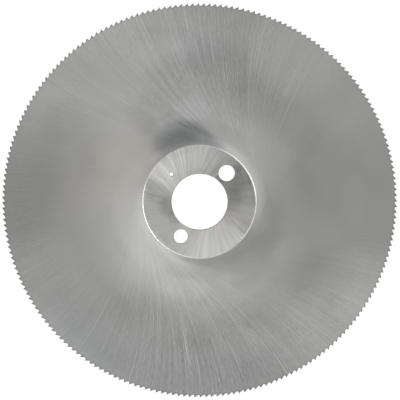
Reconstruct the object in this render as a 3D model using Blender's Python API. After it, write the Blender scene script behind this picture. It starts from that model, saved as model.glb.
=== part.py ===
"""Metal slitting saw: a solid high-speed-steel disc with ground sides and fine teeth round its rim.

The blade is one piece of steel. It lies flat on its back hub face, in metres, +Z up:
the origin is on the bore's axis in that face, and the front face looks up.
Seen from the front the blade turns clockwise, so each tooth's cutting face looks clockwise.
"""

import math

import bmesh
import bpy
from mathutils import Matrix, Vector

# Disc
TIP_DIAMETER = 0.225
THICKNESS = 0.002
RIM_LAND = 0.002  # flat band between the gullet floors and the start of the side grinding
GRIND_DEPTH = 0.00015  # how far each ground side lies below its hub face, at the hub
SHOULDER_RADIUS = 0.001  # concave corner that the grinding wheel leaves round the hub

# Hub, bore and drilled holes
BORE_DIAMETER = 0.032
BORE_CHAMFER = 0.00025
PIN_SETBACK = 0.0065  # from the bore's wall to the circle that the holes are drilled on
HUB_BORDER = 0.0097  # from that circle to the hub's edge
LARGE_PIN_DIAMETER = 0.0093
LARGE_PIN_ANGLE = 46.6
SMALL_PIN_DIAMETER = 0.0082
SMALL_PIN_ANGLE = 241.4
MARK_HOLE_DIAMETER = 0.0023
MARK_HOLE_ANGLE = 135.6
HOLE_CHAMFER = 0.0002

# Teeth
TOOTH_PAIRS = 110
TOOTH_DEPTH = 0.0014
GULLET_RADIUS = 0.0008
RAKE = math.radians(5)
LAND_LENGTH = 0.00045
LAND_RELIEF = math.radians(10)
TIP_BEVEL = 0.0006  # 45 degree corner bevel, on the front of one tooth and the back of the next

# How finely round shapes are drawn
GULLET_STEPS = 4
SHOULDER_STEPS = 3
HOLE_STEPS = 32
SHARP_ANGLE = math.radians(15)
CUTTER_OVERRUN = 0.001  # how far a drill reaches past both faces
WELD_DISTANCE = 0.00001

# Steel
STEEL_COLOUR = (0.33, 0.33, 0.32, 1)
STEEL_ROUGHNESS = 0.38

# Worked out from the sizes above
TOOTH_COUNT = 2 * TOOTH_PAIRS
TIP_RADIUS = TIP_DIAMETER / 2
PITCH = math.tau * TIP_RADIUS / TOOTH_COUNT
BORE_RADIUS = BORE_DIAMETER / 2
PIN_CIRCLE_RADIUS = BORE_RADIUS + PIN_SETBACK
HUB_RADIUS = PIN_CIRCLE_RADIUS + HUB_BORDER
RIM_RADIUS = TIP_RADIUS - TOOTH_DEPTH - RIM_LAND


def clear_scene():
    for old in list(bpy.data.objects):
        bpy.data.objects.remove(old)


def turn_section(mesh, section, steps, start_angle=0.0):
    """Turns a section, given as radii and heights, once round the Z axis."""
    start = Matrix.Rotation(start_angle, 3, "Z")
    points = [mesh.verts.new(start @ Vector((radius, 0, z))) for radius, z in section]
    lines = [mesh.edges.new(pair) for pair in zip(points, points[1:])]
    bmesh.ops.spin(
        mesh,
        geom=points + lines,
        cent=(0, 0, 0),
        axis=(0, 0, 1),
        angle=math.tau,
        steps=steps,
        use_merge=True,
    )


def meeting_point(point, direction, other_point, other_direction):
    """Where two lines in a plane cross, each given by a point and a direction."""
    gap = other_point - point
    return point + direction * (gap.cross(other_direction) / direction.cross(other_direction))


def tooth_form():
    """One tooth and the gullet behind it, in the plane of the disc.

    u runs anticlockwise along the tip circle from the tooth's tip, v outwards from that circle.
    Returns the full outline, the same outline with its tip cut down by the bevel, and the
    place of the gullet's floor in them.
    """
    face = Vector((math.sin(RAKE), -math.cos(RAKE)))
    land = Vector((math.cos(LAND_RELIEF), -math.sin(LAND_RELIEF)))
    tip = Vector((0, 0))
    heel = tip + LAND_LENGTH * land

    # The gullet's arc touches its floor and the cutting face of the next tooth
    centre_v = GULLET_RADIUS - TOOTH_DEPTH
    centre_u = PITCH - (GULLET_RADIUS + centre_v * math.sin(RAKE)) / math.cos(RAKE)
    centre = Vector((centre_u, centre_v))

    # The tooth's back runs straight from the heel and is tangent to that arc
    to_centre = centre - heel
    back_angle = math.atan2(to_centre.y, to_centre.x) - math.asin(GULLET_RADIUS / to_centre.length)
    back = Vector((math.cos(back_angle), math.sin(back_angle)))
    arc_start = back_angle - math.pi / 2
    arc_step = (RAKE - arc_start) / GULLET_STEPS
    angles = [arc_start + arc_step * step for step in range(GULLET_STEPS + 1)]
    gullet = [centre + GULLET_RADIUS * Vector((math.cos(a), math.sin(a))) for a in angles]

    # The bevel lowers the land, parallel to itself, between the cutting face and the back
    lowered = tip + TIP_BEVEL * Vector((-math.sin(LAND_RELIEF), -math.cos(LAND_RELIEF)))
    low_tip = meeting_point(tip, face, lowered, land)
    low_heel = meeting_point(heel, back, lowered, land)

    full = [tip, heel, *gullet]
    bevelled = [low_tip, low_heel, *gullet]
    floor = min(range(len(full)), key=lambda place: full[place].y)
    return full, bevelled, floor


def on_rim(tooth, point, z):
    """The place in the blade of a point of the tooth form, on the given tooth."""
    angle = tooth * math.tau / TOOTH_COUNT + point.x / TIP_RADIUS
    radius = TIP_RADIUS + point.y
    return Vector((radius * math.cos(angle), radius * math.sin(angle), z))


def shoulder():
    """The concave corner round the front of the hub, from its foot up to the hub's edge."""
    centre_z = THICKNESS - GRIND_DEPTH + SHOULDER_RADIUS
    edge_angle = math.acos(1 - GRIND_DEPTH / SHOULDER_RADIUS)
    foot_radius = HUB_RADIUS + SHOULDER_RADIUS * math.sin(edge_angle)
    points = []
    for step in range(SHOULDER_STEPS + 1):
        angle = edge_angle * step / SHOULDER_STEPS
        radius = foot_radius - SHOULDER_RADIUS * math.sin(angle)
        points.append((radius, centre_z - SHOULDER_RADIUS * math.cos(angle)))
    return points


def ground_section():
    """The turned and ground section, from the front rim through the bore to the back rim."""
    front = [
        (RIM_RADIUS, THICKNESS),
        *shoulder(),
        (BORE_RADIUS + BORE_CHAMFER, THICKNESS),
        (BORE_RADIUS, THICKNESS - BORE_CHAMFER),
    ]
    back = [(radius, THICKNESS - z) for radius, z in reversed(front)]
    return front + back


def rim_ring(mesh, start_angle, z):
    """The vertices of the revolved body's rim at this height, anticlockwise from the start angle."""
    open_edge = {v for edge in mesh.edges if edge.is_boundary for v in edge.verts}
    ring = [v for v in open_edge if abs(v.co.z - z) < THICKNESS / 2]
    half_step = math.pi / TOOTH_PAIRS
    ring.sort(key=lambda v: (math.atan2(v.co.y, v.co.x) - start_angle + half_step) % math.tau)
    return ring


def toothed_side(mesh, z, bevelled_teeth, forms, floor, ring):
    """The teeth's side face at this height, out to their outline. Returns each tooth's outline."""
    full, bevelled = forms
    outlines = []
    for tooth in range(TOOTH_COUNT):
        form = bevelled if tooth % 2 == bevelled_teeth else full
        outlines.append([mesh.verts.new(on_rim(tooth, point, z)) for point in form])
    for pair in range(TOOTH_PAIRS):
        first, second = 2 * pair, 2 * pair + 1
        teeth = outlines[first - 1][floor:] + outlines[first] + outlines[second][: floor + 1]
        mesh.faces.new([ring[pair], *teeth, ring[(pair + 1) % TOOTH_PAIRS]])
    return outlines


def cut_flanks(mesh, front, back, forms):
    """Closes the blade's edge across its thickness: cutting faces, lands, bevels, backs and gullets."""
    full_form = forms[0]
    for tooth in range(TOOTH_COUNT):
        bevel_in_front = tooth % 2 == 0
        low, full = (front, back) if bevel_in_front else (back, front)
        ridge_z = THICKNESS - TIP_BEVEL if bevel_in_front else TIP_BEVEL
        tip, heel = (mesh.verts.new(on_rim(tooth, full_form[place], ridge_z)) for place in (0, 1))
        mesh.faces.new((full[tooth - 1][-1], full[tooth][0], tip, low[tooth][0], low[tooth - 1][-1]))
        mesh.faces.new((full[tooth][0], full[tooth][1], heel, tip))
        mesh.faces.new((tip, heel, low[tooth][1], low[tooth][0]))
        mesh.faces.new((full[tooth][1], full[tooth][2], low[tooth][2], low[tooth][1], heel))
        for place in range(2, 2 + GULLET_STEPS):
            mesh.faces.new(
                (
                    front[tooth][place],
                    front[tooth][place + 1],
                    back[tooth][place + 1],
                    back[tooth][place],
                )
            )


def blade_mesh():
    """The blade with its teeth and bore, before its pin holes are drilled."""
    full, bevelled, floor = tooth_form()
    forms = (full, bevelled)
    mesh = bmesh.new()
    start_angle = full[floor].x / TIP_RADIUS - math.tau / TOOTH_COUNT
    turn_section(mesh, ground_section(), TOOTH_PAIRS, start_angle)
    front_ring = rim_ring(mesh, start_angle, THICKNESS)
    back_ring = rim_ring(mesh, start_angle, 0)
    front = toothed_side(mesh, THICKNESS, 0, forms, floor, front_ring)
    back = toothed_side(mesh, 0, 1, forms, floor, back_ring)
    cut_flanks(mesh, front, back, forms)
    bmesh.ops.recalc_face_normals(mesh, faces=mesh.faces)
    made = bpy.data.meshes.new("saw_blade")
    mesh.to_mesh(made)
    mesh.free()
    return made


def drill(name, diameter, angle):
    """A cutter for one round hole on the pin circle, which also breaks the hole's two edges."""
    radius = diameter / 2
    mouth = radius + HOLE_CHAMFER + CUTTER_OVERRUN
    section = [
        (0, THICKNESS + CUTTER_OVERRUN),
        (mouth, THICKNESS + CUTTER_OVERRUN),
        (radius, THICKNESS - HOLE_CHAMFER),
        (radius, HOLE_CHAMFER),
        (mouth, -CUTTER_OVERRUN),
        (0, -CUTTER_OVERRUN),
    ]
    mesh = bmesh.new()
    turn_section(mesh, section, HOLE_STEPS)
    bmesh.ops.remove_doubles(mesh, verts=mesh.verts, dist=WELD_DISTANCE)
    bmesh.ops.recalc_face_normals(mesh, faces=mesh.faces)
    made = bpy.data.meshes.new(name)
    mesh.to_mesh(made)
    mesh.free()
    cutter = bpy.data.objects.new(name, made)
    bpy.context.collection.objects.link(cutter)
    turn = math.radians(angle)
    cutter.location = (
        PIN_CIRCLE_RADIUS * math.cos(turn),
        PIN_CIRCLE_RADIUS * math.sin(turn),
        0,
    )
    cutter.rotation_euler.z = turn
    cutter.hide_render = True
    cutter.display_type = "WIRE"
    return cutter


def drill_hole(blade, cutter):
    cut = blade.modifiers.new(cutter.name, "BOOLEAN")
    cut.operation = "DIFFERENCE"
    cut.solver = "EXACT"
    cut.object = cutter


def steel():
    made = bpy.data.materials.new("high_speed_steel")
    made.use_nodes = True
    shader = made.node_tree.nodes["Principled BSDF"]
    shader.inputs["Base Color"].default_value = STEEL_COLOUR
    shader.inputs["Metallic"].default_value = 1
    shader.inputs["Roughness"].default_value = STEEL_ROUGHNESS
    return made


def main():
    clear_scene()
    mesh = blade_mesh()
    mesh.materials.append(steel())
    mesh.shade_smooth()
    mesh.set_sharp_from_angle(angle=SHARP_ANGLE)
    blade = bpy.data.objects.new("saw_blade", mesh)
    bpy.context.collection.objects.link(blade)
    drill_hole(blade, drill("large_pin_drill", LARGE_PIN_DIAMETER, LARGE_PIN_ANGLE))
    drill_hole(blade, drill("small_pin_drill", SMALL_PIN_DIAMETER, SMALL_PIN_ANGLE))
    drill_hole(blade, drill("mark_hole_drill", MARK_HOLE_DIAMETER, MARK_HOLE_ANGLE))


main()
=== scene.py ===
"""Dresses the slitting saw: ground high-speed steel on a plain white floor, seen from above."""

import math
from typing import NamedTuple

import bmesh
import bpy
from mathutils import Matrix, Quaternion, Vector

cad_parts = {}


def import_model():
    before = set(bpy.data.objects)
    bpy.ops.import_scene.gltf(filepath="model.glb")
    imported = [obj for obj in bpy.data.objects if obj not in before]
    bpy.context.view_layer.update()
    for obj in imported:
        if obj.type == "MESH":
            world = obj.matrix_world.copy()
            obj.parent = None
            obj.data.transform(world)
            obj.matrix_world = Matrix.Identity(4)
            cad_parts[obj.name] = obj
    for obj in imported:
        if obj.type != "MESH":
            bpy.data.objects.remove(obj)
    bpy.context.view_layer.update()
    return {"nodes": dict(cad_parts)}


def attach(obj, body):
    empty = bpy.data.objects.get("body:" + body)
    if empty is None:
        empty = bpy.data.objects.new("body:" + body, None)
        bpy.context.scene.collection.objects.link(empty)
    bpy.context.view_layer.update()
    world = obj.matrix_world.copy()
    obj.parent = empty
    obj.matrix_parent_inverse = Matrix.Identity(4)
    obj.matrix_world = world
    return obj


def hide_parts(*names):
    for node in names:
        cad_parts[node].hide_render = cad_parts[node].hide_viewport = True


MM_PER_METRE = 1000.0

# Camera: nearly straight above the blade, leaning over its upper edge, with a long lens
IMAGE_SIDE = 400  # pixels
SENSOR_WIDTH = 36.0  # mm
CAMERA_DISTANCE = 1.0276  # metres from the blade's centre
CAMERA_LEAN = math.radians(4.14)
CAMERA_AZIMUTH = math.radians(86.6)
CAMERA_ROLL = math.radians(-0.09)
PIXELS_PER_METRE = 1752.7
AIM_RIGHT = 0.00025  # metres from the blade's centre to what the camera looks at
AIM_UP = 0.00093

# The blade's zones, in millimetres from its axis
HUB_EDGE = 32.2
SHOULDER_FOOT = 32.8
TOOTH_ROOT = 110.2
TOOTH_MIDDLE = 111.8
MIDDLE_HEIGHT = 1.0

# Grinding marks, in millimetres
BODY_WHEEL_RADIUS = 200.0
BODY_WHEEL_REACH = 35.0  # how near the axis the wheel's edge comes
HUB_WHEEL_RADIUS = 60.0
HUB_WHEEL_REACH = 10.0

# Steel
STEEL = 0.29
HUB_TONE = 1.25
BODY_TINT = (1.0, 1.0, 0.97)
WARM_TINT = (1.045, 1.0, 0.915)
COOL_TINT = (1.0, 1.0, 1.0)
GREEN_TINT = (0.97, 1.0, 0.99)
DARK_TINTING = 2.5  # how fast the painted shade of the dark crescent takes its tint
# painted shade: the teeth darker towards their tips
TOOTH_SHADE = -0.25
ROUGHNESS = 0.30
ROUGHNESS_SWING = 0.03
ANISOTROPY = 0.9
RELIEF = 0.00002  # metres from the highest to the lowest ground line
RELIEF_STRENGTH = 0.15
PATCH_FADE = 3.0  # where a patch ends: the sum of its distances round and out, out squared
PATCH_FRAY = 2.5  # mm by which the streaks pull the patches' edges about
DARK_FRAY = 1.5  # the same for the painted shade of the dark crescent

# Cut faces: chamfers, walls of the bore and the holes, and the teeth's flanks
CUT_STEEL = 0.12
CUT_ROUGHNESS = 0.5
CUT_ANISOTROPY = 0.5
CUT_MARK_WIDTH = 0.12  # mm
CUT_MARK_LENGTH = 3.0  # mm
CUT_CONTRAST = 0.25
CUT_TILT = 0.8  # faces whose normal's height is below this are cut, not ground
RIM_START = 60.0  # mm from the axis; beyond it, cutting marks run across the blade's thickness

# Edges
CREASE_ANGLE = math.radians(15)
WELD_DISTANCE = 0.000002

# Studio
FLOOR_SIDE = 6.0
FLOOR_DROP = 0.00005  # keeps the floor clear of the face that lies on it
FLOOR_COLOUR = 0.12
FLOOR_GLOW = 0.94
WORLD_LEVEL = 0.2
LAMP_DISTANCE = 2.0


class Softbox(NamedTuple):
    """A soft rectangular lamp that faces the blade."""

    name: str
    azimuth: float  # degrees
    height: float  # degrees above the floor
    width: float  # metres
    depth: float  # metres
    level: float  # how bright its face looks, where 1 is white


SOFTBOXES = (
    Softbox("right_softbox", 45, 15, 1.6, 0.8, 12.0),
    Softbox("left_softbox", 240, 15, 0.8, 0.8, 18.0),
    Softbox("back_softbox", 120, 15, 0.8, 0.8, 6.0),
    Softbox("front_softbox", 195, 35, 1.2, 0.8, 5.0),
)


class Patch(NamedTuple):
    """A soft-edged area of a ground face, which paints reflected light or shade into the steel's
    tone, or changes its tint or streaks.
    """

    angle: float  # degrees round the blade
    radius: float  # mm from its axis
    spread: float  # degrees to each side
    reach: float  # mm inwards and outwards
    tone: float  # how much lighter (painted reflection) or darker (painted shade) the colour is there, or how much of the tint or streaks it gets


# Painted light: the lamps' reflections and shade on the ground body, painted into its colour
BODY_REFLECTION_PATCHES = (
    # Painted reflection: the bright sweep on the lower left
    Patch(200, 46, 52, 17, 0.27),
    Patch(205, 38, 45, 9, 0.25),
    Patch(145, 58, 11, 10, 0.12),
    Patch(225, 52, 22, 6, 0.07),
    Patch(260, 51, 12, 5, 0.17),
    Patch(271, 59, 8, 8, 0.10),
    Patch(270, 54, 7, 4, -0.06),
    Patch(256, 40.5, 12, 3.5, -0.10),
    Patch(119, 57, 9, 9, -0.12),
    Patch(121, 51, 6, 3.5, -0.05),
    Patch(165, 43, 8, 8, -0.06),
    Patch(212, 33.5, 16, 2, 0.12),
    Patch(240, 60, 8, 6, -0.05),
    # Painted reflection and shade on the rest of the ground near the hub
    Patch(30, 33.2, 16, 1.2, 0.12),
    Patch(2, 37, 12, 3, -0.05),
    Patch(0, 33.2, 14, 1.4, 0.08),
    Patch(135, 46, 6, 5, 0.07),
    Patch(285, 38.5, 8, 3, 0.07),
    Patch(36, 42, 28, 12, 0.11),
    Patch(20, 34.5, 40, 2.5, 0.14),
    Patch(345, 36, 12, 4, 0.13),
    Patch(330, 42, 22, 7, -0.14),
    Patch(302, 44.5, 12, 5, 0.10),
    Patch(316, 51, 14, 8, 0.08),
    Patch(96, 52, 8, 5, 0.09),
    Patch(5, 55, 14, 10, -0.08),
    Patch(71, 42, 14, 4, -0.08),
    Patch(60, 34.5, 14, 2, 0.08),
    Patch(136, 35, 8, 2, 0.12),
    Patch(112, 47, 7, 4, 0.08),
    Patch(274, 41, 12, 4, -0.06),
    Patch(331, 58, 7, 7, 0.05),
    Patch(300, 52, 7, 5, -0.08),
    Patch(300, 36, 9, 3, -0.06),
    # Painted reflection and shade half way out
    Patch(12, 75, 16, 15, -0.115),
    Patch(38, 71, 12, 9, -0.05),
    Patch(62, 66, 10, 10, -0.07),
    Patch(80, 74, 14, 12, -0.12),
    Patch(101, 73, 8, 10, -0.08),
    Patch(180, 62, 20, 7, -0.07),
    Patch(183, 82, 10, 8, -0.05),
    Patch(250, 75, 18, 10, -0.07),
    Patch(268, 78, 6, 6, -0.06),
    Patch(303, 77, 14, 13, -0.12),
    Patch(328, 82, 10, 13, -0.12),
    Patch(149, 89, 7, 9, -0.10),
    Patch(86, 84, 10, 9, -0.06),
    Patch(105, 88, 9, 7, 0.07),
    Patch(290, 86, 9, 6, 0.07),
    Patch(0, 88, 8, 6, 0.05),
    Patch(299, 77, 8, 6, -0.06),
    Patch(316, 86, 7, 6, 0.08),
    Patch(105, 83, 6, 6, -0.05),
    Patch(293, 68, 10, 7, -0.06),
    Patch(240, 70, 9, 9, -0.04),
    # Painted reflection and shade towards the rim
    Patch(222, 92, 8, 8, -0.05),
    Patch(57, 101, 12, 18, 0.15),
    Patch(172, 102, 17, 17, -0.17),
    Patch(197, 102, 15, 14, -0.06),
    Patch(213, 98, 15, 22, 0.10),
    Patch(228, 110, 14, 4, 0.09),
    Patch(268, 101, 20, 17, -0.12),
    Patch(312, 98, 8, 14, -0.05),
    Patch(334, 101, 8, 16, 0.13),
    Patch(301, 98, 7, 14, -0.06),
    Patch(350, 104, 14, 16, -0.06),
    Patch(14, 101, 9, 9, -0.05),
    Patch(105, 96, 6, 5, -0.06),
)

# Painted shade: the dark crescent above the hub, a dark reflection painted into the colour, which
# ends along one grinding mark
DARK_SHADE_PATCHES = (
    Patch(103, 40, 19, 6, -0.41),
    Patch(120, 35, 9, 3, -0.08),
    Patch(98, 41, 8, 5, -0.08),
    Patch(107, 49.5, 6, 3.5, -0.17),
    Patch(75, 37.5, 8, 4.5, -0.18),
    Patch(128, 36, 6, 3, -0.06),
    Patch(108, 35, 16, 3, 0.05),
)
DARK_EDGE = (math.radians(50), math.radians(61))  # the marks between which it fades in

# Painted light: the lamps' reflections and shade on the hub, painted into its colour
HUB_REFLECTION_PATCHES = (
    Patch(30, 23, 13, 12, -0.56),
    Patch(47, 29.5, 8, 3, -0.22),
    Patch(24, 17.5, 12, 3, 0.10),
    Patch(48, 17, 6, 2.5, -0.50),
    Patch(2, 17, 8, 2.5, -0.08),
    Patch(0, 26, 8, 4, -0.06),
    Patch(14, 31.5, 14, 1.5, -0.12),
    Patch(71, 29, 6, 5, 0.12),
    Patch(358, 20, 14, 12, -0.32),
    Patch(4, 17, 16, 5, -0.22),
    Patch(60, 18, 7, 4, -0.20),
    Patch(113, 24, 28, 20, 0.27),
    Patch(109, 31.5, 19, 2.5, -0.17),
    Patch(95, 17, 16, 2, -0.12),
    Patch(152, 18, 6, 4, 0.12),
    Patch(148, 30, 6, 3, -0.12),
    Patch(138, 17.5, 12, 3, -0.18),
    Patch(145, 24, 8, 14, 0.17),
    Patch(164, 28, 8, 8, -0.28),
    Patch(186, 17, 15, 5, -0.40),
    Patch(176, 24, 6, 4, -0.16),
    Patch(210, 17, 9, 2.5, -0.22),
    Patch(256, 17, 9, 2.5, -0.10),
    Patch(355, 29, 8, 4, 0.12),
    Patch(172, 31.8, 7, 1, 0.22),
    Patch(226, 31.8, 10, 1, 0.25),
    Patch(205, 27, 16, 8, 0.08),
    Patch(278, 24, 32, 20, 0.39),
    Patch(296, 23, 12, 5, -0.07),
    Patch(300, 18, 16, 5, -0.09),
    Patch(331, 27, 7, 10, -0.20),
    Patch(341, 23, 6, 12, -0.13),
    Patch(330, 30, 7, 3, -0.12),
    Patch(60, 28.5, 7, 5, -0.10),
    Patch(31, 30, 6, 1.2, 0.08),
    Patch(180, 17.5, 8, 3, -0.10),
)

WARM_PATCHES = (
    Patch(152, 48.5, 20, 12.5, 0.9),
    Patch(190, 42, 14, 10, 0.2),
    Patch(172, 68, 20, 10, 0.3),
    Patch(275, 18.5, 40, 3, 0.25),
    Patch(322, 19, 14, 4, 0.3),
    Patch(339, 23, 9, 6, 0.55),
)

COOL_PATCHES = (
    Patch(80, 25, 22, 10, 0.7),
    Patch(266, 30, 9, 4, 0.8),
    Patch(92, 51, 9, 9, 1.0),
    Patch(92, 88, 12, 12, 0.8),
    Patch(255, 99, 42, 12, 1.0),
)

GREEN_PATCHES = (
    Patch(229, 106, 10, 8, 0.8),
)

# Painted highlight: the bright line of reflected light along the hub's edge
EDGE_HIGHLIGHT_PATCHES = (
    Patch(28, 32.2, 26, 0.3, 2.3),
    Patch(335, 32.2, 14, 0.3, 0.9),
    Patch(210, 32.15, 50, 0.3, 0.4),
    Patch(245, 32.2, 12, 0.3, 0.3),
    Patch(60, 32.2, 10, 0.3, 0.5),
)


class Streaks(NamedTuple):
    """A set of grinding lines, measured at one distance from the axis, in millimetres."""

    at: float  # that distance
    width: float
    length: float
    contrast: float


BODY_STREAKS = (
    Streaks(100, 4.0, 60, 0.02),
    Streaks(60, 0.9, 40, 0.015),
    Streaks(100, 0.45, 80, 0.10),
    Streaks(100, 0.4, 3.0, 0.10),
)
# Painted glint: bright lines along some of the grinding marks
BRIGHT_LINES = Streaks(80, 0.35, 60, 0.27)
HUB_STREAKS = (
    Streaks(24, 4.0, 40, 0.12),
    Streaks(24, 1.6, 30, 0.20),
    Streaks(24, 0.7, 20, 0.20),
    Streaks(24, 0.3, 12, 0.14),
)
STREAK_SHIFT = 7.3  # keeps one set's noise from repeating another's
LINE_RANGE = (0.3, 0.6)  # the noise at which a bright line starts to show and is full

CLUSTER_SIZE = 14.0  # mm
CLUSTERING = 0.75  # how much clearer the body's streaks are in some places than in others


class Clearness(NamedTuple):
    """Where the streaks show: most along one way from the axis and the opposite one; the streaks
    are real grinding marks, and this change with direction is painted glint.
    """

    way: float  # degrees round the blade
    least: float
    most: float
    power: float  # how fast they fade to the sides
    lead: float  # how much more they show along the way than opposite it


BODY_CLEARNESS = Clearness(33, 0.2, 2.7, 3.5, -0.1)
HUB_CLEARNESS = Clearness(108, 0.4, 0.95, 2.0, 0.28)

# Where the body's streaks, but not its bright lines, show more than that
CLEAR_PATCHES = (
    Patch(170, 104, 28, 14, 0.5),
    Patch(205, 100, 18, 16, 0.8),
    Patch(338, 104, 12, 8, 0.5),
    Patch(88, 60, 26, 18, 0.9),
    Patch(322, 95, 16, 18, 0.7),
)


class Graph:
    """Adds nodes to one node tree and wires them up."""

    def __init__(self, tree):
        self.tree = tree

    def add(self, kind, inputs=(), **settings):
        node = self.tree.nodes.new(kind)
        for name, value in settings.items():
            setattr(node, name, value)
        for socket, value in dict(inputs).items():
            self.wire(value, node.inputs[socket])
        return node

    def wire(self, value, socket):
        if isinstance(value, bpy.types.NodeSocket):
            self.tree.links.new(value, socket)
        else:
            socket.default_value = value

    def math(self, operation, *values):
        return self.add("ShaderNodeMath", enumerate(values), operation=operation).outputs[0]

    def add_up(self, *values):
        total = values[0]
        for value in values[1:]:
            total = self.math("ADD", total, value)
        return total

    def vector(self, operation, *values):
        return self.add("ShaderNodeVectorMath", enumerate(values), operation=operation).outputs[0]

    def dot(self, a, b):
        node = self.add("ShaderNodeVectorMath", {0: a, 1: b}, operation="DOT_PRODUCT")
        return node.outputs["Value"]

    def scaled(self, vector, scale):
        node = self.add("ShaderNodeVectorMath", {0: vector, "Scale": scale}, operation="SCALE")
        return node.outputs[0]

    def combine(self, x, y, z):
        return self.add("ShaderNodeCombineXYZ", {0: x, 1: y, 2: z}).outputs[0]

    def ramp(self, value, low, high, to_low=0.0, to_high=1.0):
        """Goes smoothly from to_low to to_high as the value goes from low to high."""
        inputs = {"Value": value, "From Min": low, "From Max": high}
        inputs.update({"To Min": to_low, "To Max": to_high})
        return self.add("ShaderNodeMapRange", inputs, interpolation_type="SMOOTHSTEP").outputs[0]

    def between(self, factor, low, high):
        return self.math("MULTIPLY_ADD", factor, high - low, low)

    def noise(self, place, detail=2.0, roughness=0.5):
        """Soft noise, from about -1 to 1, with features about as large as the place's unit."""
        inputs = {"Vector": place, "Scale": 1.0, "Detail": detail, "Roughness": roughness}
        value = self.add("ShaderNodeTexNoise", inputs).outputs["Fac"]
        return self.math("MULTIPLY_ADD", value, 2.0, -1.0)

    def mix_vector(self, factor, a, b):
        node = self.add("ShaderNodeMix", {"Factor": factor}, data_type="VECTOR")
        self.wire(a, node.inputs[4])
        self.wire(b, node.inputs[5])
        return node.outputs[1]

    def mix_value(self, factor, a, b):
        return self.add("ShaderNodeMix", {0: factor, 2: a, 3: b}, data_type="FLOAT").outputs[0]


def wheel_marks(graph, place, radius, angle, wheel_radius, wheel_reach, turn):
    """The marks of a grinding wheel whose edge passes wheel_reach from the blade's axis.

    Each mark is an arc of the wheel's edge. Returns an angle that is the same all along one mark,
    which is where its wheel's centre lies, and the direction across the mark, in which its light
    spreads. Inside the wheel's reach the marks run on round the axis.
    """
    centre_distance = wheel_radius + wheel_reach
    power = centre_distance**2 - wheel_radius**2
    top = graph.math("ADD", graph.math("POWER", radius, 2.0), power)
    bottom = graph.math("MULTIPLY", radius, 2 * centre_distance)
    cosine = graph.math("DIVIDE", top, bottom)
    swing = graph.math("ARCCOSINE", graph.math("MINIMUM", cosine, 1.0))
    centre_angle = graph.math("SUBTRACT", angle, graph.math("MULTIPLY", swing, turn))
    centre_x = graph.math("MULTIPLY", graph.math("COSINE", centre_angle), centre_distance)
    centre_y = graph.math("MULTIPLY", graph.math("SINE", centre_angle), centre_distance)
    centre = graph.combine(centre_x, centre_y, 0.0)
    across = graph.vector("NORMALIZE", graph.vector("SUBTRACT", place, centre))
    past = graph.math("MAXIMUM", graph.math("SUBTRACT", cosine, 1.0), 0.0)
    run_on = graph.math("SQRT", graph.math("MULTIPLY", past, 2.0))
    mark = graph.math("MULTIPLY_ADD", run_on, turn, centre_angle)
    return mark, across


def streak_noise(graph, mark, radius, sets):
    """Noise drawn out along the grinding marks, from about -1 to 1, for each set of streaks."""
    cosine, sine = graph.math("COSINE", mark), graph.math("SINE", mark)
    noises = []
    for number, lines in enumerate(sets):
        round_x = graph.math("MULTIPLY", cosine, lines.at / lines.width)
        round_y = graph.math("MULTIPLY", sine, lines.at / lines.width)
        along = graph.math("MULTIPLY_ADD", radius, 1 / lines.length, number * STREAK_SHIFT)
        noises.append(graph.noise(graph.combine(round_x, round_y, along), 1.0))
    return noises


def streak_tone(graph, noises, sets):
    """The tone that the sets of streaks add up to."""
    tones = [graph.math("MULTIPLY", noise, lines.contrast) for noise, lines in zip(noises, sets)]
    return graph.add_up(*tones)


def direction(turn):
    return (math.cos(turn), math.sin(turn), 0.0)


def clearness(graph, way, rule):
    """How clearly the streaks show, given the way in which a place lies, or its grinding mark."""
    facing = graph.dot(way, direction(math.radians(rule.way)))
    lined_up = graph.math("POWER", graph.math("ABSOLUTE", facing), rule.power)
    level = graph.between(lined_up, rule.least, rule.most)
    return graph.math("MULTIPLY", level, graph.math("MULTIPLY_ADD", facing, rule.lead, 1.0))


def patch_tone(graph, outward, radius, patches):
    """What a list of patches adds at a place, whose direction from the axis is outward."""
    tones = [0.0]
    for patch in patches:
        turn = math.radians(patch.angle)
        sharpness = 1 / (1 - math.cos(math.radians(patch.spread)))
        facing = graph.dot(outward, direction(turn))
        aside = graph.math("MULTIPLY_ADD", facing, -sharpness, sharpness)
        along = graph.math("MULTIPLY_ADD", radius, 1 / patch.reach, -patch.radius / patch.reach)
        away = graph.math("MULTIPLY_ADD", along, along, aside)
        tones.append(graph.ramp(away, 0.0, PATCH_FADE, patch.tone, 0.0))
    return graph.add_up(*tones)


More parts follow.
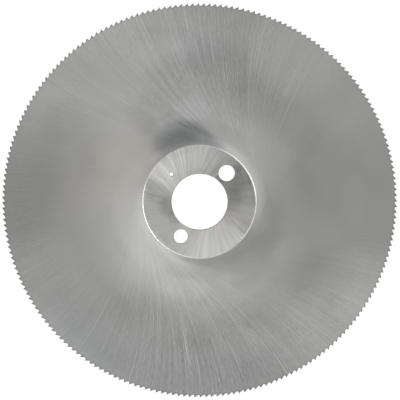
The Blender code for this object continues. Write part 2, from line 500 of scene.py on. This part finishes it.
def steel_material():
    material = bpy.data.materials.new("ground_steel")
    material.use_nodes = True
    graph = Graph(material.node_tree)
    shader = material.node_tree.nodes["Principled BSDF"]

    # The back face is laid out as the mirror image of the front
    position = graph.add("ShaderNodeTexCoord").outputs["Object"]
    split = graph.add("ShaderNodeSeparateXYZ", {0: graph.scaled(position, MM_PER_METRE)})
    side = graph.math("SIGN", graph.math("SUBTRACT", split.outputs["Z"], MIDDLE_HEIGHT))
    x = split.outputs["X"]
    y = graph.math("MULTIPLY", split.outputs["Y"], side)
    place = graph.combine(x, y, 0.0)
    outward = graph.vector("NORMALIZE", place)
    radius = graph.add("ShaderNodeVectorMath", {0: place}, operation="LENGTH").outputs["Value"]
    angle = graph.math("ARCTAN2", y, x)

    body_mark, across_body = wheel_marks(
        graph, place, radius, angle, BODY_WHEEL_RADIUS, BODY_WHEEL_REACH, 1.0
    )
    hub_mark, across_hub = wheel_marks(
        graph, place, radius, angle, HUB_WHEEL_RADIUS, HUB_WHEEL_REACH, -1.0
    )
    on_body = graph.ramp(radius, HUB_EDGE, SHOULDER_FOOT)
    across = graph.mix_vector(on_body, across_hub, across_body)
    tangent = graph.vector("MULTIPLY", across, graph.combine(1.0, side, 1.0))
    graph.wire(tangent, shader.inputs["Tangent"])

    body_noises = streak_noise(graph, body_mark, radius, BODY_STREAKS)
    line_noise = streak_noise(graph, body_mark, radius, [BRIGHT_LINES])[0]
    hub_noises = streak_noise(graph, hub_mark, radius, HUB_STREAKS)
    lines = [graph.mix_value(on_body, *pair) for pair in zip(hub_noises, body_noises)]

    # Painted reflections and shade of the lamps in the body's colour
    frayed = graph.math("MULTIPLY_ADD", body_noises[0], PATCH_FRAY, radius)
    body_reflections = patch_tone(graph, outward, frayed, BODY_REFLECTION_PATCHES)
    # The streaks are real grinding marks; how clearly they show by direction, and the bright lines,
    # are painted glint
    mark_way = graph.combine(graph.math("COSINE", body_mark), graph.math("SINE", body_mark), 0.0)
    clear = clearness(graph, mark_way, BODY_CLEARNESS)
    bright_lines = graph.ramp(line_noise, *LINE_RANGE, 0.0, BRIGHT_LINES.contrast)
    bright_lines = graph.math("MULTIPLY", bright_lines, clear)
    clear = graph.math("ADD", clear, patch_tone(graph, outward, radius, CLEAR_PATCHES))
    streaks = streak_tone(graph, body_noises, BODY_STREAKS)
    streaks = graph.math("MULTIPLY_ADD", streaks, clear, bright_lines)
    clusters = graph.noise(graph.scaled(place, 1 / CLUSTER_SIZE))
    clusters = graph.math("MULTIPLY_ADD", clusters, CLUSTERING, 1.0)
    body_streaks = graph.math("MULTIPLY", streaks, clusters)
    # Painted shade: the dark crescent above the hub
    dark_radius = graph.math("MULTIPLY_ADD", body_noises[1], DARK_FRAY, radius)
    dark_shade = patch_tone(graph, outward, dark_radius, DARK_SHADE_PATCHES)
    dark_shade = graph.math("MULTIPLY", dark_shade, graph.ramp(body_mark, *DARK_EDGE))
    # Painted shade: the teeth darker towards their tips
    tooth_shade = graph.ramp(radius, TOOTH_ROOT, TOOTH_MIDDLE, 0.0, TOOTH_SHADE)
    body_tone = graph.add_up(body_reflections, dark_shade, body_streaks, tooth_shade, 1.0)
    # Painted reflections and shade of the lamps on the hub
    hub_reflections = patch_tone(graph, outward, radius, HUB_REFLECTION_PATCHES)
    hub_streaks = streak_tone(graph, hub_noises, HUB_STREAKS)
    # Painted glint: the hub's real streaks show more along one way
    hub_streaks = graph.math("MULTIPLY", hub_streaks, clearness(graph, outward, HUB_CLEARNESS))
    hub_tone = graph.math("ADD", hub_reflections, HUB_TONE)
    hub_tone = graph.math("MULTIPLY_ADD", hub_tone, hub_streaks, hub_tone)
    # Painted highlight along the hub's edge
    edge_highlight = patch_tone(graph, outward, radius, EDGE_HIGHLIGHT_PATCHES)
    tone = graph.math("ADD", graph.mix_value(on_body, hub_tone, body_tone), edge_highlight)

    tint = graph.mix_vector(patch_tone(graph, outward, radius, COOL_PATCHES), BODY_TINT, COOL_TINT)
    tint = graph.mix_vector(patch_tone(graph, outward, radius, WARM_PATCHES), tint, WARM_TINT)
    # The painted shade of the dark crescent also takes the green tint
    darkness = graph.math("MULTIPLY", dark_shade, -DARK_TINTING)
    darkness = graph.math("MULTIPLY", darkness, on_body)
    greenness = graph.math("ADD", patch_tone(graph, outward, radius, GREEN_PATCHES), darkness)
    tint = graph.mix_vector(greenness, tint, GREEN_TINT)
    level = graph.math("MULTIPLY", tone, STEEL)
    graph.wire(graph.scaled(tint, level), shader.inputs["Base Color"])

    roughness = graph.math("MULTIPLY_ADD", lines[1], ROUGHNESS_SWING, ROUGHNESS)
    graph.wire(roughness, shader.inputs["Roughness"])
    relief = {"Height": lines[2], "Distance": RELIEF, "Strength": RELIEF_STRENGTH}
    graph.wire(graph.add("ShaderNodeBump", relief).outputs[0], shader.inputs["Normal"])

    shader.inputs["Metallic"].default_value = 1
    shader.inputs["Anisotropic"].default_value = ANISOTROPY
    return material


def cut_material():
    """Steel as a tool left it: turned lines round the bore and holes, ground lines on the teeth."""
    material = bpy.data.materials.new("cut_steel")
    material.use_nodes = True
    graph = Graph(material.node_tree)
    shader = material.node_tree.nodes["Principled BSDF"]

    position = graph.add("ShaderNodeTexCoord").outputs["Object"]
    position = graph.scaled(position, MM_PER_METRE)
    radius = graph.add("ShaderNodeVectorMath", {0: position}, operation="LENGTH").outputs["Value"]
    on_rim = graph.math("GREATER_THAN", radius, RIM_START)
    round_bore = graph.vector(
        "DIVIDE", position, (CUT_MARK_LENGTH, CUT_MARK_LENGTH, CUT_MARK_WIDTH)
    )
    across_rim = graph.vector("DIVIDE", position, (CUT_MARK_WIDTH, CUT_MARK_WIDTH, CUT_MARK_LENGTH))
    marks = graph.noise(graph.mix_vector(on_rim, round_bore, across_rim))
    tone = graph.math("MULTIPLY_ADD", marks, CUT_CONTRAST, 1.0)
    level = graph.math("MULTIPLY", tone, CUT_STEEL)
    graph.wire(graph.scaled(BODY_TINT, level), shader.inputs["Base Color"])
    relief = {"Height": marks, "Distance": RELIEF, "Strength": RELIEF_STRENGTH}
    graph.wire(graph.add("ShaderNodeBump", relief).outputs[0], shader.inputs["Normal"])

    normal = graph.add("ShaderNodeNewGeometry").outputs["Normal"]
    along_rim = graph.vector("CROSS_PRODUCT", normal, (0.0, 0.0, 1.0))
    graph.wire(graph.mix_vector(on_rim, (0.0, 0.0, 1.0), along_rim), shader.inputs["Tangent"])
    shader.inputs["Metallic"].default_value = 1
    shader.inputs["Roughness"].default_value = CUT_ROUGHNESS
    shader.inputs["Anisotropic"].default_value = CUT_ANISOTROPY
    return material


def add_blade(frame):
    """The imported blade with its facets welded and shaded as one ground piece."""
    node = frame["nodes"]["saw_blade"]
    solid = bmesh.new()
    solid.from_mesh(node.data)
    bmesh.ops.remove_doubles(solid, verts=solid.verts, dist=WELD_DISTANCE)
    mesh = bpy.data.meshes.new("ground_blade")
    solid.to_mesh(mesh)
    solid.free()
    mesh.attributes.remove(mesh.attributes["custom_normal"])
    blade = bpy.data.objects.new("ground_blade", mesh)
    bpy.context.collection.objects.link(blade)
    mesh.shade_smooth()
    mesh.set_sharp_from_angle(angle=CREASE_ANGLE)
    mesh.materials.clear()
    mesh.materials.append(steel_material())
    mesh.materials.append(cut_material())
    for face in mesh.polygons:
        face.material_index = int(abs(face.normal.z) < CUT_TILT)
    weighted = blade.modifiers.new("weighted_normals", "WEIGHTED_NORMAL")
    weighted.keep_sharp = True
    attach(blade, "root")
    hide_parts("saw_blade")


def add_floor():
    bpy.ops.mesh.primitive_plane_add(size=FLOOR_SIDE, location=(0, 0, -FLOOR_DROP))
    floor = bpy.context.object
    floor.name = "floor"
    material = bpy.data.materials.new("white_floor")
    material.use_nodes = True
    tree = material.node_tree
    tree.nodes.clear()
    graph = Graph(tree)
    rays = graph.add("ShaderNodeLightPath").outputs
    seen = graph.math("MAXIMUM", rays["Is Camera Ray"], rays["Is Glossy Ray"])
    grey = (FLOOR_COLOUR, FLOOR_COLOUR, FLOOR_COLOUR, 1)
    paint = graph.add("ShaderNodeBsdfDiffuse", {"Color": grey})
    glow = graph.add("ShaderNodeEmission", {"Strength": graph.math("MULTIPLY", seen, FLOOR_GLOW)})
    both = graph.add("ShaderNodeAddShader", {0: paint.outputs[0], 1: glow.outputs[0]})
    graph.add("ShaderNodeOutputMaterial", {"Surface": both.outputs[0]})
    floor.data.materials.append(material)


def add_softbox(softbox):
    light = bpy.data.lights.new(softbox.name, "AREA")
    light.shape = "RECTANGLE"
    light.size = softbox.width
    light.size_y = softbox.depth
    light.energy = math.pi * softbox.width * softbox.depth * softbox.level
    lamp = bpy.data.objects.new(softbox.name, light)
    bpy.context.collection.objects.link(lamp)
    turn, rise = math.radians(softbox.azimuth), math.radians(softbox.height)
    level = math.cos(rise)
    toward = Vector((level * math.cos(turn), level * math.sin(turn), math.sin(rise)))
    lamp.location = LAMP_DISTANCE * toward
    lamp.rotation_euler = (-toward).to_track_quat("-Z", "Y").to_euler()
    lamp.visible_camera = False


def add_world():
    """Plain soft light from all round, seen as white by the camera and in reflections."""
    world = bpy.data.worlds.new("studio")
    bpy.context.scene.world = world
    world.use_nodes = True
    graph = Graph(world.node_tree)
    rays = graph.add("ShaderNodeLightPath").outputs
    seen = graph.math("MAXIMUM", rays["Is Camera Ray"], rays["Is Glossy Ray"])
    seen = graph.math("MAXIMUM", seen, rays["Is Transmission Ray"])
    background = world.node_tree.nodes["Background"]
    background.inputs["Color"].default_value = (1, 1, 1, 1)
    graph.wire(graph.mix_value(seen, WORLD_LEVEL, 1.0), background.inputs["Strength"])


def add_camera():
    data = bpy.data.cameras.new("camera")
    data.sensor_width = SENSOR_WIDTH
    data.lens = SENSOR_WIDTH * PIXELS_PER_METRE * CAMERA_DISTANCE / IMAGE_SIDE
    camera = bpy.data.objects.new("camera", data)
    bpy.context.collection.objects.link(camera)
    over = Vector((math.cos(CAMERA_AZIMUTH), math.sin(CAMERA_AZIMUTH), 0))
    lean = Quaternion((-over.y, over.x, 0), CAMERA_LEAN)
    toward = lean @ Vector((0, 0, 1))
    aim = Vector((AIM_RIGHT, AIM_UP, 0))
    camera.location = aim + CAMERA_DISTANCE * toward
    camera.rotation_mode = "QUATERNION"
    camera.rotation_quaternion = lean @ Quaternion((0, 0, 1), CAMERA_ROLL)
    bpy.context.scene.camera = camera


def main():
    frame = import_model()
    add_blade(frame)
    add_floor()
    add_world()
    for softbox in SOFTBOXES:
        add_softbox(softbox)
    add_camera()
    bpy.context.scene.view_settings.view_transform = "Standard"


main()
